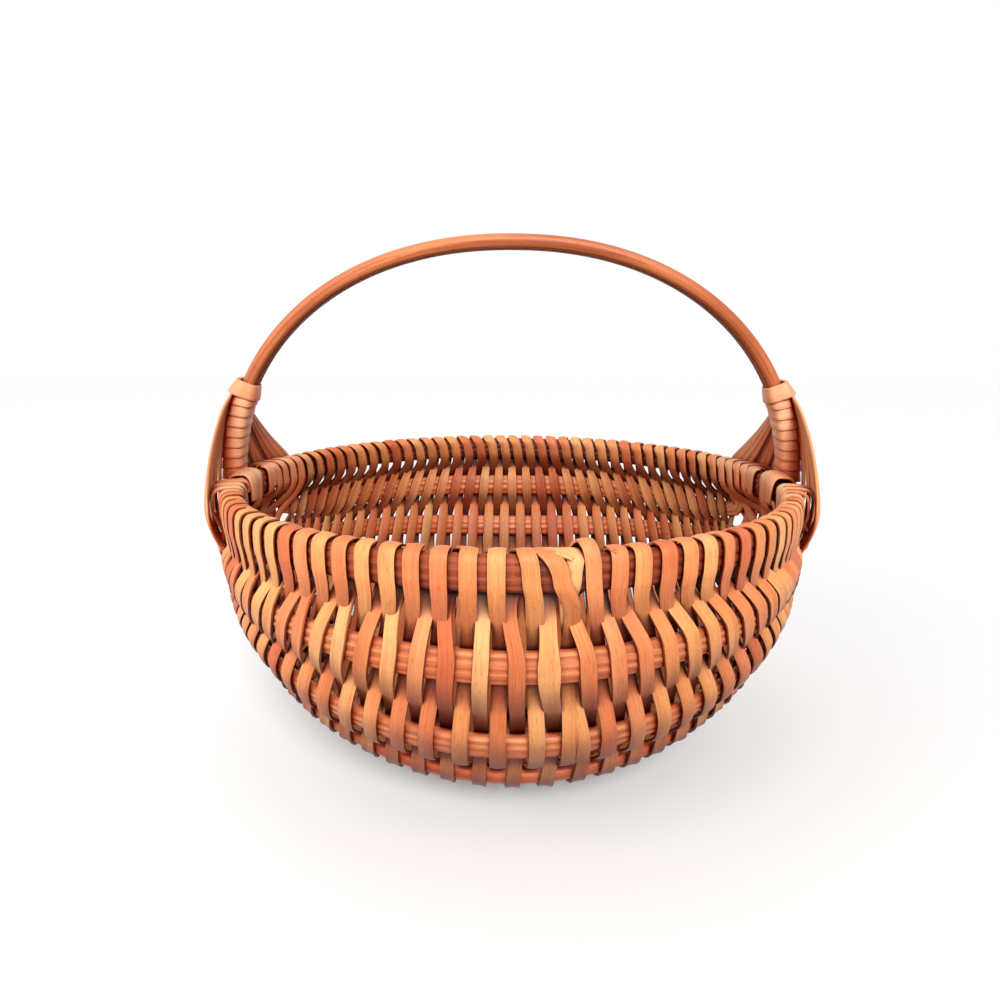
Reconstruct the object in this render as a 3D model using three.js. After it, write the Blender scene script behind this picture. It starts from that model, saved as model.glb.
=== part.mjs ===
// A round ribbed basket with a fixed hoop handle, woven from flat splints.
// Millimetres, +Z up, X from ear to ear, the front towards -Y, standing on z = 0.
import * as THREE from 'three';

// Rim hoop, measured to the middle of its wood
const rimHalfLength = 119.9;
const rimHalfDepth = 127.3;
const rimHeight = 11.5;
const rimThickness = 6.4;
const rimRound = 2.2;
const rimSteps = 48;

// Bowl, measured to the middle of the ribs and down from the middle of the rim
const bowlDepth = 115.5;
const flatDepth = 110;
const bottomSoftness = 3;
const bowlSquareness = 2.35;

// Handle hoop, a cane that goes on below the bowl as the keel
const caneThickness = 6.6;
const caneWidth = 11;
const caneRound = 1.9;
const handleRise = 105.3;
const handleSquareness = 2.16;
const keelProud = 0.6;
const archSteps = 22;
const keelSteps = 21;

// Ribs, by the angle down the bowl's section at which each lies, in the middle and near the ears
const frontRibAngles = [12.4, 30.8, 48.5, 72];
const backRibAngles = [8.8, 21, 41.1, 69];
const frontEarAngles = [27, 48, 62, 75];
const backEarAngles = [24, 43, 60, 74];
const gatherSwing = 69;
const gatherPower = 3.2;
const ribWidth = 12.2;
const ribThickness = 5.5;
const ribWidthAtEar = 7.2;
const ribThicknessAtEar = 2.2;
const ribWidthAtRim = 9.8;
const ribThicknessAtRim = 2;
const ribTipWidth = 1.5;
const ribTipThickness = 1.4;
const ribTipGap = 0.6;
const innerEarLift = 13.2;
const outerEarLift = 8.5;
const ribSteps = 7;
const earSteps = 3;
const fanSteps = 3;

// Woven splints
const splintThickness = 1;
const splintCount = 18;
const legsPerSplint = 4;
const legPitch = 4.2;
const splintGap = 0.55;
const splintEndGap = 1;
const highSpreadRatio = 1.1;
const lowSpreadRatio = 1.2;
const seatSlack = 0.28;

// Windings at the ears
const bandThickness = 1;
const collarHeight = 7;
const collarRise = 42.4;
const tipRamp = 3;
const collarRound = 0.6;
const postBandWidth = 4.4;
const postTurns = 8;
const lashWidth = 5.4;
const lashTurns = 5;

const clearance = 0.3;

// Sizes that follow from the ones above
const strandSeat = clearance + splintThickness / 2;
const bandSeat = clearance + bandThickness / 2;
const earBulge = (rimThickness + caneThickness) / 2 + clearance;
const keelInset = (caneThickness - ribThickness) / 2 - keelProud;
const hoopHalfLength = rimHalfLength + earBulge;
const hoopRise = rimHeight / 2 + handleRise - caneThickness / 2;
const wrapOut = caneThickness / 2 + clearance + bandThickness;
const fanStand = wrapOut + 2 * clearance + ribThicknessAtRim / 2;
const ribPitchAtRim = ribWidthAtRim + ribTipGap;
const innerRibAtRim = caneWidth / 2 + bandThickness + 2 * clearance + ribWidthAtRim / 2;
const tipStand = caneThickness / 2 + clearance + ribTipThickness / 2;
const tipRise = collarRise + collarHeight - clearance;
const legCount = splintCount * legsPerSplint;
const flatShare = 0.55;
const quarterTurn = Math.PI / 2;
const keelDepth = flatten(bowlDepth * Math.cos(quarterTurn / keelSteps)) - keelInset;
const rimZ = keelDepth + caneThickness / 2 + clearance + seatSlack + splintThickness;

const colours = {
  rim: 0xb5653a,
  cane: 0xd0825a,
  rib: 0xf0aa72,
  splint: 0xe29360,
  darkSplint: 0xc8744c,
  winding: 0xe0956a,
};

function finish(colour) {
  return new THREE.MeshStandardMaterial({ color: colour, roughness: 0.55, metalness: 0 });
}

function named(name, geometry, colour) {
  const mesh = new THREE.Mesh(geometry, finish(colour));
  mesh.name = name;
  return mesh;
}

// Skins a row of rings, all with the same number of points, into one closed solid
function loft(rings, closed = false) {
  const sides = rings[0].length;
  const points = rings.flat();
  const index = [];
  const spans = closed ? rings.length : rings.length - 1;
  for (let i = 0; i < spans; i += 1) {
    const here = i * sides;
    const next = ((i + 1) % rings.length) * sides;
    for (let j = 0; j < sides; j += 1) {
      const k = (j + 1) % sides;
      index.push(here + j, here + k, next + k, here + j, next + k, next + j);
    }
  }
  if (!closed) {
    const last = (rings.length - 1) * sides;
    for (let j = 1; j < sides - 1; j += 1) {
      index.push(0, j + 1, j, last, last + j, last + j + 1);
    }
  }
  if (enclosedVolume(points, index) < 0) {
    index.reverse();
  }
  const geometry = new THREE.BufferGeometry();
  const positions = points.flatMap((point) => point.toArray());
  geometry.setAttribute('position', new THREE.Float32BufferAttribute(positions, 3));
  geometry.setIndex(index);
  geometry.computeVertexNormals();
  return geometry;
}

function enclosedVolume(points, index) {
  let volume = 0;
  const normal = new THREE.Vector3();
  for (let i = 0; i < index.length; i += 3) {
    const [a, b, c] = [points[index[i]], points[index[i + 1]], points[index[i + 2]]];
    volume += a.dot(normal.crossVectors(b, c)) / 6;
  }
  return volume;
}

// One ring of a section, given as [across, out] pairs, in a frame of two directions
function ring(frame, section) {
  return section.map(([across, out]) => frame.point.clone()
    .addScaledVector(frame.across, across)
    .addScaledVector(frame.out, out));
}

// Flat faces in the middle, drawn in to a point at each edge
function flatOval(width, thickness) {
  const w = width / 2;
  const t = thickness / 2;
  const flat = w * flatShare;
  return [[w, 0], [flat, t], [-flat, t], [-w, 0], [-flat, -t], [flat, -t]];
}

// A rectangle with its corners cut, grown by a margin all round
function cutRectangle(width, thickness, cut, margin = 0) {
  const w = width / 2 + margin;
  const t = thickness / 2 + margin;
  const short = cut + margin * (2 - Math.SQRT2);
  return [
    [w, short - t], [w, t - short], [w - short, t], [short - w, t],
    [-w, t - short], [-w, short - t], [short - w, -t], [w - short, -t],
  ];
}

// A flat band through stations { point, across, width }, where across is the way of its width
function band(stations, thickness) {
  const rings = stations.map((station, i) => {
    const before = stations[Math.max(i - 1, 0)].point;
    const after = stations[Math.min(i + 1, stations.length - 1)].point;
    const arriving = station.point.clone().sub(before).normalize();
    const leaving = after.clone().sub(station.point).normalize();
    const along = arriving.clone().add(leaving).normalize();
    const mitre = Math.max(along.dot(arriving), along.dot(leaving));
    const out = new THREE.Vector3().crossVectors(along, station.across).normalize();
    const w = station.width / 2;
    const t = thickness / 2 / mitre;
    const frame = { point: station.point, across: station.across, out };
    return ring(frame, [[w, t], [-w, t], [-w, -t], [w, -t]]);
  });
  return loft(rings);
}

// The bowl's middle surface: swing runs from ear to ear, drop from the front rim to the back rim
function flatten(depth) {
  return flatDepth - bottomSoftness * Math.log(1 + Math.exp((flatDepth - depth) / bottomSoftness));
}

function bowlPoint(swing, drop) {
  const power = 2 / bowlSquareness;
  const level = Math.cos(drop);
  const fall = Math.sin(drop);
  const halfLength = rimHalfLength + earBulge * (1 - (1 - fall) ** 3);
  const forward = Math.sign(level) * Math.abs(level) ** power;
  return new THREE.Vector3(
    halfLength * Math.sin(swing),
    -rimHalfDepth * Math.cos(swing) * forward,
    rimZ - flatten(bowlDepth * Math.cos(swing) * fall ** power),
  );
}

// The way out of the bowl at a place on that surface
function bowlOut(swing, drop) {
  const exponent = bowlSquareness - 1;
  const power = 2 / bowlSquareness;
  const forward = Math.abs(Math.cos(drop)) ** power;
  const fall = Math.sin(drop) ** power;
  const depth = bowlDepth * Math.cos(swing) * fall;
  const sag = Math.exp((flatDepth - depth) / bottomSoftness);
  const keep = sag === Infinity ? 1 : sag / (1 + sag);
  return new THREE.Vector3(
    Math.sin(swing) / rimHalfLength,
    -Math.sign(Math.cos(drop)) * Math.cos(swing) * forward ** exponent / rimHalfDepth,
    -Math.cos(swing) * fall ** exponent / (bowlDepth * keep),
  ).normalize();
}

// Reads a place between two stations of a piece, so that what lies on it follows its facets.
// Its lean is the smooth way out, scaled to one millimetre off the facet.
function between(a, b, share) {
  const across = b.point.clone().sub(a.point);
  const stretch = across.length() / (b.at - a.at);
  across.normalize();
  const lean = a.out.clone().lerp(b.out, share).normalize();
  const out = lean.clone().addScaledVector(across, -lean.dot(across)).normalize();
  return {
    point: a.point.clone().lerp(b.point, share),
    across,
    out,
    lean: lean.divideScalar(lean.dot(out)),
    down: new THREE.Vector3().crossVectors(across, out),
    stretch,
    width: THREE.MathUtils.lerp(a.width, b.width, share),
    thickness: THREE.MathUtils.lerp(a.thickness, b.thickness, share),
    flat: THREE.MathUtils.lerp(a.flat, b.flat, share),
  };
}

function placeOn(stations, at) {
  const last = stations.length - 2;
  const i = Math.min(Math.max(stations.findIndex((station) => station.at > at) - 1, 0), last);
  const index = at >= stations[last + 1].at ? last : i;
  const [a, b] = [stations[index], stations[index + 1]];
  return between(a, b, (at - a.at) / (b.at - a.at));
}

// Rim hoop stations, from the front all the way round
const rimSize = { width: rimHeight, thickness: rimThickness, flat: rimHeight / 2 - rimRound };

function rimStations() {
  const stations = [];
  for (let i = 0; i <= rimSteps; i += 1) {
    const turn = 2 * Math.PI * i / rimSteps - Math.PI / 2;
    const point = new THREE.Vector3(rimHalfLength * Math.sin(turn), -rimHalfDepth * Math.cos(turn), rimZ);
    const out = new THREE.Vector3(Math.sin(turn) / rimHalfLength, -Math.cos(turn) / rimHalfDepth, 0);
    stations.push({ at: turn, point, out: out.normalize(), ...rimSize });
  }
  return stations;
}

const rimLine = rimStations();

// A place on the rim's middle line; side is -1 at the front and 1 at the back
function rimFrame(swing, side) {
  const frame = placeOn(rimLine, side < 0 ? swing : Math.PI - swing);
  frame.across.multiplyScalar(-side);
  return frame;
}

// Handle hoop: over the top it follows the rise above the rim, below the bowl it is the keel
const caneSize = { width: caneWidth, thickness: caneThickness, flat: caneWidth / 2 - caneRound };

function hoopArch() {
  const stations = [];
  const power = 2 / handleSquareness;
  for (let i = 0; i <= archSteps / 2; i += 1) {
    const angle = Math.PI * i / archSteps;
    const rise = hoopRise * Math.sin(angle) ** power;
    const point = new THREE.Vector3(hoopHalfLength * Math.cos(angle) ** power, 0, rimZ + rise);
    const steep = handleSquareness - 1;
    const out = new THREE.Vector3(
      (point.x / hoopHalfLength) ** steep / hoopHalfLength,
      0,
      (rise / hoopRise) ** steep / hoopRise,
    ).normalize();
    stations.push({ at: rise, point, out, ...caneSize });
  }
  return stations;
}

function keelStations() {
  const stations = [];
  for (let i = 0; i <= keelSteps; i += 1) {
    const swing = Math.PI * (i / keelSteps - 0.5);
    const out = bowlOut(swing, quarterTurn);
    const point = bowlPoint(swing, quarterTurn).addScaledVector(out, -keelInset * Math.cos(swing));
    stations.push({ at: swing, point, out, ...caneSize });
  }
  return stations;
}

const archLine = hoopArch();
const keelLine = keelStations();

// A place on the handle, left (-1) or right (1), by its rise above the rim
function hoopFrame(side, rise) {
  const frame = placeOn(archLine, rise);
  for (const vector of [frame.point, frame.across, frame.out]) {
    vector.x *= side;
  }
  return { point: frame.point, across: new THREE.Vector3(0, 1, 0), out: frame.out, along: frame.across };
}

function handleHoop() {
  const arch = archLine.map((station) => station.point);
  const mirrored = arch.slice(1, -1).reverse().map((point) => point.clone().setX(-point.x));
  const line = [...arch, ...mirrored, ...keelLine.slice(0, -1).map((station) => station.point)];
  const across = new THREE.Vector3(0, 1, 0);
  const section = cutRectangle(caneWidth, caneThickness, caneRound);
  const rings = line.map((point, i) => {
    const arriving = point.clone().sub(line[(i + line.length - 1) % line.length]).normalize();
    const leaving = line[(i + 1) % line.length].clone().sub(point).normalize();
    const along = arriving.add(leaving).normalize();
    return ring({ point, across, out: new THREE.Vector3().crossVectors(across, along) }, section);
  });
  return loft(rings, true);
}

// Rim hoop: straight sides with a ridge above and below
const rimShoulder = rimHeight / 2 - rimRound;

// How far out a winding's middle runs when it wraps the rim at a given seat
function wrapPath(seat) {
  const slant = rimRound / (rimThickness / 2);
  const ridge = rimHeight / 2 + seat * Math.hypot(slant, 1);
  const face = rimThickness / 2 + seat;
  return { ridge, face, corner: ridge - slant * face };
}

function rimHoop() {
  const t = rimThickness / 2;
  const h = rimHeight / 2;
  const section = [[rimShoulder, t], [h, 0], [rimShoulder, -t], [-rimShoulder, -t], [-h, 0], [-rimShoulder, t]];
  const up = new THREE.Vector3(0, 0, 1);
  const rings = rimLine.slice(0, -1)
    .map((station) => ring({ point: station.point, across: up, out: station.out }, section));
  return loft(rings, true);
}

// Ribs run round the bowl and draw together near the ears
function makeRib(angle, earAngle, side, order) {
  const endSwing = THREE.MathUtils.degToRad(gatherSwing);
  const rib = { side, order, angle, earAngle, endSwing, stations: [] };
  for (let i = -ribSteps; i <= ribSteps; i += 1) {
    rib.stations.push(ribStation(rib, endSwing * i / ribSteps));
  }
  return rib;
}

function ribStation(rib, swing) {
  const share = Math.abs(swing) / rib.endSwing;
  const angle = THREE.MathUtils.lerp(rib.angle, rib.earAngle, share ** gatherPower);
  const fall = THREE.MathUtils.degToRad(angle);
  const drop = rib.side < 0 ? fall : Math.PI - fall;
  const width = THREE.MathUtils.lerp(ribWidth, ribWidthAtEar, share ** 2);
  return {
    at: swing,
    point: bowlPoint(swing, drop),
    out: bowlOut(swing, drop),
    width,
    flat: flatShare * width / 2,
    thickness: THREE.MathUtils.lerp(ribThickness, ribThicknessAtEar, share ** 2),
  };
}

const frontRibs = frontRibAngles.map((angle, i) => makeRib(angle, frontEarAngles[i], -1, i + 1));
const backRibs = backRibAngles.map((angle, i) => makeRib(angle, backEarAngles[i], 1, i + 1));
const keel = { side: 0, order: frontRibs.length + 1, stations: keelLine, endSwing: quarterTurn };

// Where a rib passes outside the rim, beside the wrapped post
function ribAtRim(rib, side) {
  const rank = frontRibs.length - rib.order;
  const y = rib.side * (innerRibAtRim + rank * ribPitchAtRim);
  const lift = THREE.MathUtils.lerp(innerEarLift, outerEarLift, rank / (frontRibs.length - 1));
  const swing = side * Math.acos(Math.abs(y) / rimHalfDepth);
  const frame = rimFrame(swing, rib.side);
  return { point: frame.point.addScaledVector(frame.out, lift), out: frame.out };
}

// From the weave a rib swings out and up to that place
function earStations(rib, side) {
  const from = ribStation(rib, side * rib.endSwing);
  const before = ribStation(rib, side * rib.endSwing * (1 - 1 / ribSteps));
  const to = ribAtRim(rib, side);
  const reach = from.point.distanceTo(to.point);
  const leaving = from.point.clone().sub(before.point).setLength(reach);
  const arriving = new THREE.Vector3(0, 0, reach);
  const stations = [];
  for (let i = 1; i <= earSteps; i += 1) {
    const t = i / earSteps;
    const point = from.point.clone().multiplyScalar(2 * t ** 3 - 3 * t ** 2 + 1)
      .addScaledVector(leaving, t ** 3 - 2 * t ** 2 + t)
      .addScaledVector(to.point, 3 * t ** 2 - 2 * t ** 3)
      .addScaledVector(arriving, t ** 3 - t ** 2);
    stations.push({
      point,
      out: from.out.clone().lerp(to.out, t).normalize(),
      width: THREE.MathUtils.lerp(ribWidthAtEar, ribWidthAtRim, t),
      thickness: THREE.MathUtils.lerp(ribThicknessAtEar, ribThicknessAtRim, t),
    });
  }
  return stations;
}

// Above the rim it fans in along the outside of the post, and its tip ends under the collar
function fanStations(rib, side) {
  const start = ribAtRim(rib, side);
  const straight = collarRise - clearance;
  const total = frontRibs.length;
  const tipY = rib.side * (total - rib.order + 0.5) * (ribTipWidth + ribTipGap);
  const drop = hoopHalfLength + fanStand - Math.abs(start.point.x);
  const stations = [];
  const rises = [];
  for (let i = 1; i <= fanSteps; i += 1) {
    rises.push((collarRise - tipRamp) * i / fanSteps);
  }
  for (const rise of [...rises, straight, tipRise]) {
    const share = Math.min(rise / straight, 1);
    const stand = rise < straight ? fanStand : tipStand;
    const hoop = hoopFrame(side, rise);
    const point = hoop.point.clone().addScaledVector(hoop.out, stand);
    point.x -= side * drop * (1 - share);
    point.y = THREE.MathUtils.lerp(start.point.y, tipY, share);
    stations.push({
      point,
      out: start.out.clone().lerp(hoop.out, share).normalize(),
      width: THREE.MathUtils.lerp(ribWidthAtRim, ribTipWidth, share),
      thickness: THREE.MathUtils.lerp(ribThicknessAtRim, ribTipThickness, share),
    });
  }
  return stations;
}

function ribSolid(rib) {
  const ends = [-1, 1].map((side) => [...earStations(rib, side), ...fanStations(rib, side)]);
  const stations = [...ends[0].reverse(), ...rib.stations, ...ends[1]];
  const rings = stations.map((station, i) => {
    const before = stations[Math.max(i - 1, 0)].point;
    const after = stations[Math.min(i + 1, stations.length - 1)].point;
    const along = after.clone().sub(before).normalize();
    const across = new THREE.Vector3().crossVectors(station.out, along).normalize();
    const out = new THREE.Vector3().crossVectors(along, across);
    return ring({ point: station.point, across, out }, flatOval(station.width, station.thickness));
  });
  return loft(rings);
}

// Splints: even legs run outside the rim, odd legs inside it
function legSwing(leg) {
  return (leg - (legCount - 1) / 2) * legPitch / rimHalfDepth;
}

// Below the rim the legs stand further apart in the middle and closer together near the ears
function spreadSwing(leg, rib) {
  const swing = legSwing(leg);
  const spread = rib.order === 1 ? highSpreadRatio : lowSpreadRatio;
  const share = swing / legSwing(legCount - 1);
  return {
    at: swing * (spread - (spread - 1) * share ** 2),
    growth: spread - 3 * (spread - 1) * share ** 2,
  };
}

function legWidth(stretch) {
  return stretch * legPitch / rimHalfDepth - splintGap;
}

// A wrap over the rim from a leg inside it to the next leg outside it, or back again
function rimWrap(fromLeg, toLeg, side) {
  const { ridge, face, corner } = wrapPath(strandSeat);
  const outward = fromLeg % 2 === 0 ? 1 : -1;
  const places = [[face, -corner], [face, corner], [0, ridge], [-face, corner], [-face, -corner]];
  return places.map(([out, rise], i) => {
    const share = i / (places.length - 1);
    const swing = THREE.MathUtils.lerp(legSwing(fromLeg), legSwing(toLeg), share);
    return rimStation(swing, side, outward * out, rise);
  });
}

function rimStation(swing, side, out, rise) {
  const frame = rimFrame(swing, side);
  const point = frame.point.clone().addScaledVector(frame.lean, out);
  point.z += rise;
  return { point, across: frame.across, width: legWidth(frame.stretch) };
}

// The ribs that a leg meets, from the front rim to the back rim, and how it passes each
function crossings(leg) {
  const around = [...frontRibs, keel, ...[...backRibs].reverse()];
  return around.map((rib) => {
    const { at, growth } = spreadSwing(leg, rib);
    const place = placeOn(rib.stations, at);
    place.stretch *= growth;
    return { rib, place, parity: (leg + rib.order) % 2 === 0 ? 1 : -1 };
  });
}

function crossingStation(place, out, course = place.down, along = 0) {
  const point = place.point.clone().addScaledVector(place.lean, out).addScaledVector(course, along);
  return { point, across: place.across, width: legWidth(place.stretch) };
}

// How far a leg stands off the middle of a rib that it passes
function legSeat(place) {
  return place.thickness / 2 + strandSeat + seatSlack;
}

// A leg that bends at one point over a rib stands off further, to clear the rib's flat on both sides
function peakSeat(place, course, parity, others) {
  const seat = legSeat(place);
  const half = place.flat / Math.max(Math.abs(course.dot(place.down)), 0.5);
  const needs = others.map((other) => {
    const way = other.clone().sub(place.point);
    const share = half / Math.abs(way.dot(course));
    return (seat - parity * way.dot(place.out) * share) / (1 - share);
  });
  return Math.max(seat, ...needs);
}

function legStations(leg) {
  const swing = legSwing(leg);
  const met = crossings(leg);
  const { face, corner } = wrapPath(strandSeat);
  const rimOut = leg % 2 === 0 ? face : -face;
  const passes = [
    rimStation(swing, -1, rimOut, -corner).point,
    ...met.map(({ place, parity }) => place.point.clone()
      .addScaledVector(place.lean, parity * legSeat(place))),
    rimStation(swing, 1, rimOut, -corner).point,
  ];
  const stations = met.flatMap(({ rib, place, parity }, i) => {
    const others = [passes[i], passes[i + 2]];
    const course = others[1].clone().sub(others[0]);
    course.addScaledVector(place.out, -course.dot(place.out)).normalize();
    if (rib === keel) {
      const half = place.flat / Math.max(Math.abs(course.dot(place.down)), 0.5);
      return [-half, half].map((along) => (
        crossingStation(place, parity * legSeat(place), course, along)
      ));
    }
    return [crossingStation(place, parity * peakSeat(place, course, parity, others))];
  });
  return leg % 2 === 0 ? stations : stations.reverse();
}

function splintSolid(order) {
  const first = order * legsPerSplint;
  const { face } = wrapPath(strandSeat);
  const start = rimWrap(first - 1, first, -1);
  start[0] = rimStation(legSwing(first - 1), -1, -face, splintEndGap / 2);
  const stations = [...start];
  for (let leg = first; leg < first + legsPerSplint; leg += 1) {
    stations.push(...legStations(leg));
    if (leg < first + legsPerSplint - 1) {
      stations.push(...rimWrap(leg, leg + 1, leg % 2 === 0 ? 1 : -1));
    }
  }
  const last = first + legsPerSplint - 1;
  stations.push(rimWrap(last, last + 1, -1)[0]);
  stations.push(rimStation(legSwing(last), -1, -face, -splintEndGap / 2));
  return band(stations, splintThickness);
}

// Post wrap: a helix round the cane, from just above the rim to just below the collar
function postWrap(side) {
  const path = cutRectangle(caneWidth, caneThickness, caneRound, bandSeat);
  const lowest = rimHeight / 2 + 2 * clearance + bandThickness + postBandWidth / 2;
  const highest = collarRise - clearance - postBandWidth / 2 - tipRamp;
  const pitch = (highest - lowest) / postTurns;
  const stations = [];
  for (let i = 0; i <= postTurns * path.length; i += 1) {
    const frame = hoopFrame(side, lowest + pitch * i / path.length);
    const [point] = ring(frame, [path[i % path.length]]);
    stations.push({ point, across: frame.along, width: Math.min(postBandWidth, pitch - splintGap) });
  }
  return band(stations, bandThickness);
}

// Collar: a closed band round the cane and the rib tips
function collar(side) {
  const inner = caneThickness / 2 + clearance;
  const outer = tipStand + ribTipThickness / 2 + clearance;
  const tips = frontRibs.length * (ribTipWidth + ribTipGap);
  const width = 2 * Math.max(tips, caneWidth / 2) + 2 * clearance;
  const path = cutRectangle(width, inner + outer, collarRound, bandThickness / 2);
  const frame = hoopFrame(side, collarRise + collarHeight / 2);
  frame.point.addScaledVector(frame.out, (outer - inner) / 2);
  const middle = ring(frame, path);
  const centre = frame.point;
  const rings = middle.map((point, i) => {
    const before = middle[(i + path.length - 1) % path.length];
    const after = middle[(i + 1) % path.length];
    const along = after.clone().sub(before).normalize();
    const out = new THREE.Vector3().crossVectors(along, frame.along).normalize();
    out.multiplyScalar(Math.sign(out.dot(point.clone().sub(centre))));
    const h = collarHeight / 2;
    const t = bandThickness / 2;
    return ring({ point, across: frame.along, out }, [[h, t], [-h, t], [-h, -t], [h, -t]]);
  });
  return loft(rings, true);
}

// Ear lashing: a winding round the rim between the post and the first splint
function earLashing(end, side) {
  const { ridge, face, corner } = wrapPath(bandSeat);
  const path = [
    [face, -corner], [face, corner], [0, ridge], [-face, corner], [-face, -corner], [0, -ridge],
  ];
  const margin = (lashWidth / 2 + 2 * clearance) / rimHalfDepth;
  const from = legSwing(legCount) + margin;
  const postY = caneWidth / 2;
  const to = Math.acos(postY / rimHalfDepth) - margin;
  const stations = [];
  for (let i = 0; i <= lashTurns * path.length; i += 1) {
    const swing = end * THREE.MathUtils.lerp(from, to, i / (lashTurns * path.length));
    const [out, rise] = path[i % path.length];
    const frame = rimFrame(swing, side);
    const point = frame.point.clone().addScaledVector(frame.out, out);
    point.z += rise;
    stations.push({ point, across: frame.across, width: lashWidth });
  }
  return band(stations, bandThickness);
}

const basket = new THREE.Group();
basket.add(named('rim_hoop', rimHoop(), colours.rim));
basket.add(named('handle_hoop', handleHoop(), colours.cane));
for (const rib of [...frontRibs, ...backRibs]) {
  const name = `rib_${rib.side < 0 ? 'front' : 'back'}_${rib.order}`;
  basket.add(named(name, ribSolid(rib), colours.rib));
}
for (let i = 0; i < splintCount; i += 1) {
  const name = `splint_${String(i + 1).padStart(2, '0')}`;
  basket.add(named(name, splintSolid(i), i % 3 === 1 ? colours.darkSplint : colours.splint));
}
for (const [end, word] of [[-1, 'left'], [1, 'right']]) {
  basket.add(named(`post_wrap_${word}`, postWrap(end), colours.winding));
  basket.add(named(`collar_${word}`, collar(end), colours.winding));
  basket.add(named(`lashing_${word}_front`, earLashing(end, -1), colours.winding));
  basket.add(named(`lashing_${word}_back`, earLashing(end, 1), colours.winding));
}

export default basket;
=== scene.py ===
import math

import bpy
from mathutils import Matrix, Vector, noise


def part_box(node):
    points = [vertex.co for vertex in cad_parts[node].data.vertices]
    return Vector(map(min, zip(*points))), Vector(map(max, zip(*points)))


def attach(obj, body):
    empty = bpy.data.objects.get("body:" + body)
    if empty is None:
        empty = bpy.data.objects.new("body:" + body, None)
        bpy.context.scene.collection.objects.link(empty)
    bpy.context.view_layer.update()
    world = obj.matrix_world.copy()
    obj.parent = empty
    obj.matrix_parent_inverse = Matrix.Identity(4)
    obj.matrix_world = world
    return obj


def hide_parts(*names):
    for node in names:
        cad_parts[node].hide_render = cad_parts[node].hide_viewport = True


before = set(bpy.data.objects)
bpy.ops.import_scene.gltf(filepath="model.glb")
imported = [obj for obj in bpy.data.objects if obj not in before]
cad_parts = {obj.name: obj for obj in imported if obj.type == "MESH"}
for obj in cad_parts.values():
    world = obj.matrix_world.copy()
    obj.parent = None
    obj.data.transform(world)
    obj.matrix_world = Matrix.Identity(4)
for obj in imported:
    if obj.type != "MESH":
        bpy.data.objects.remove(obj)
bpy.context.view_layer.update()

mm = 0.001


def showStage(words):
    print("basket:", words)


camera = {
    "place": (-0.0034, -0.3388, 0.1829),
    "turn": (77.64, -0.26, 0.31),
    "lens": 27.04,
    "sensor": 36,
}


def setCamera():
    bpy.ops.object.camera_add(location=camera["place"])
    view = bpy.context.object
    view.name = "view"
    view.rotation_euler = [math.radians(turn) for turn in camera["turn"]]
    view.data.lens = camera["lens"]
    view.data.sensor_width = camera["sensor"]
    view.data.clip_start = 0.01
    bpy.context.scene.camera = view


setCamera()
showStage("camera set")

# Sizes are in millimetres; the rim's level comes from the frame
rimLow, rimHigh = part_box("rim_hoop")
rimLevel = (rimLow.z + rimHigh.z) / 2 / mm

rim = {
    "halfLength": 119.9,
    "halfDepth": 127.3,
    "height": 12.2,
    "thickness": 6.4,
    "bareInset": 0.3,
    "roundness": 4,
    "grooves": 0.35,
    "grooveSpacing": 3.1,
    "steps": 260,
}

bowl = {
    "depth": 115.5,
    "flatDepth": 110,
    "softness": 3,
    "sagLimit": 60,
    "squareness": 2.35,
    "bulgePower": 3,
}

cane = {
    "thickness": 6.6,
    "width": 11,
    "rise": 107.75,
    "halfLength": 126.7,
    "squareness": 2.16,
    "inset": -0.05,
    "roundness": 3.4,
    "grooves": 0.6,
    "grooveSpacing": 2.7,
    "flatPoints": 26,
    "steps": 320,
}

ribs = {
    "frontAngles": [12.4, 30.8, 48.5, 72],
    "backAngles": [8.8, 21, 41.1, 69],
    "frontEarAngles": [27, 48, 62, 75],
    "backEarAngles": [24, 43, 60, 74],
    "gatherSwing": math.radians(69),
    "gatherPower": 3.2,
    "width": 12.2,
    "thickness": 5.5,
    "widthAtEar": 7.6,
    "thicknessAtEar": 2.2,
    "frontWidthAtRim": 9.6,
    "backWidthAtRim": 15.6,
    "thicknessAtRim": 2,
    "frontPitchAtRim": 10.4,
    "backPitchAtRim": 12.2,
    "innerAtRim": 12,
    "frontEarLifts": [10.1, 9.7, 9.6, 10.0],
    "backEarLifts": [8.5, 10.2, 11.8, 13.2],
    "frontTwist": math.radians(25),
    "tipWidth": 1.4,
    "tipThickness": 1.4,
    "tipPitch": 1.55,
    "tipBelowCollar": 1.9,
    "leavingFrom": 0.9,
    "leanIn": 6,
    "roundness": 2.6,
    "grooves": 0.6,
    "groovesAcross": 3.4,
    "flatPoints": 16,
    "steps": 56,
    "earSteps": 12,
    "fanSteps": 20,
    "easings": 3,
}

weave = {
    "splints": 18,
    "legs": 4,
    "pitch": 4.2,
    "highSpread": 1.13,
    "lowSpread": 1.24,
    "thickness": 0.95,
    "crown": 0.36,
    "widest": 5.2,
    "widestAtEar": 4.9,
    "backWider": 0.5,
    "widestInRoom": 1.45,
    "narrowInRoom": 1.06,
    "thinNearEar": 0.76,
    "thinFrom": 20,
    "thinTo": 38,
    "unevenWidth": 0.06,
    "widthRates": (1.7, 2.3, 1.5),
    "flatShare": 0.42,
    "seat": 0.62,
    "belowRim": 4,
    "pinch": 0.86,
    "oddPinch": 0.9,
    "pinchReach": 8,
    "tilt": 0.25,
    "tiltRates": (5.1, 0.02, 0.05),
    "step": 2.6,
    "columns": 4,
}

# The short rows at each ear, beyond the splints' own legs
earWeave = {
    "rows": 8,
    "pitch": 3.6,
    "overFan": 7,
    "room": 2.9,
    "keelSwing": 0.026,
    "reach": 0.92,
    "clear": 1,
    "lane": 60,
}

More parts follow.
